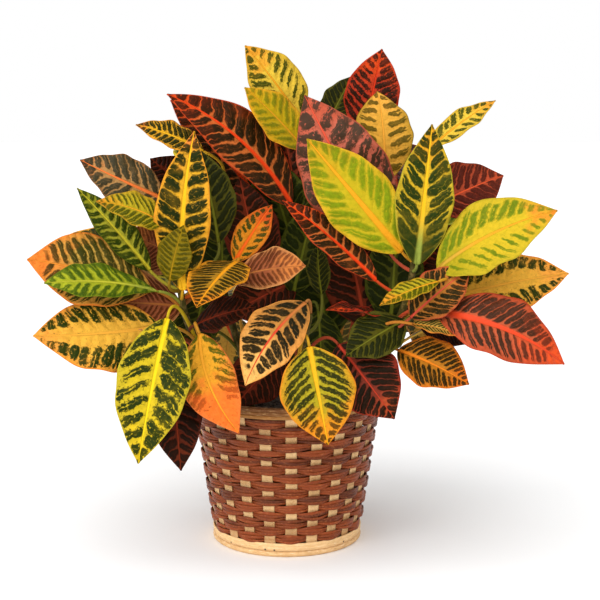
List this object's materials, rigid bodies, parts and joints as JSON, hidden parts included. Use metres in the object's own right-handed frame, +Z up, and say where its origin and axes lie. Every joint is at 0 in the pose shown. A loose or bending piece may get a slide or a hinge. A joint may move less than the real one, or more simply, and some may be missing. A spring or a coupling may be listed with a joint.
{
  "type": "potted croton",
  "caption": "Bushy croton with broad variegated leaves on leaning stems, rooted in a soil-filled grow pot inside a round woven reed basket.",
  "frame": {"origin": "middle of the basket's flat underside", "axes": "+Z up through the basket; the plant's fullest side looks towards -Y"},
  "size_m": [0.4987, 0.3514, 0.4746],
  "materials": {
    "leaves": "glossy, green, yellow, orange and red along the veins",
    "brown_reed": "stained and varnished split reed",
    "pale_reed": "natural peeled reed, satin",
    "pot_plastic": "moulded, dark",
    "soil": "loose potting mix"
  },
  "bodies": {
    "root": {"basket_bottom": "pale_reed", "rim_outer": "pale_reed", "rim_inner": "pale_reed", "base_band": "pale_reed", "base_hoop": "pale_reed", "stake_01": "pale_reed", "stake_02": "pale_reed", "stake_03": "pale_reed", "stake_04": "pale_reed", "stake_05": "pale_reed", "stake_06": "pale_reed", "stake_07": "pale_reed", "stake_08": "pale_reed", "stake_09": "pale_reed", "stake_10": "pale_reed", "stake_11": "pale_reed", "stake_12": "pale_reed", "stake_13": "pale_reed", "stake_14": "pale_reed", "stake_15": "pale_reed", "stake_16": "pale_reed", "stake_17": "pale_reed", "stake_18": "pale_reed", "stake_19": "pale_reed", "stake_20": "pale_reed", "stake_21": "pale_reed", "stake_22": "pale_reed", "weaver_01": "brown_reed", "weaver_02": "brown_reed", "weaver_03": "brown_reed", "weaver_04": "brown_reed", "weaver_05": "brown_reed", "weaver_06": "brown_reed", "weaver_07": "brown_reed", "weaver_08": "brown_reed", "weaver_09": "brown_reed", "weaver_10": "brown_reed", "weaver_11": "brown_reed", "weaver_12": "brown_reed", "weaver_13": "brown_reed", "weaver_14": "brown_reed", "weaver_15": "brown_reed", "weaver_16": "brown_reed", "grow_pot": "pot_plastic", "soil": "soil", "leafy_stem_left": "leaves", "leafy_stem_right": "leaves", "leafy_stem_middle": "leaves", "leafy_stem_front": "leaves", "leafy_stem_back_left": "leaves", "leafy_stem_back_right": "leaves"}
  },
  "joints": []
}
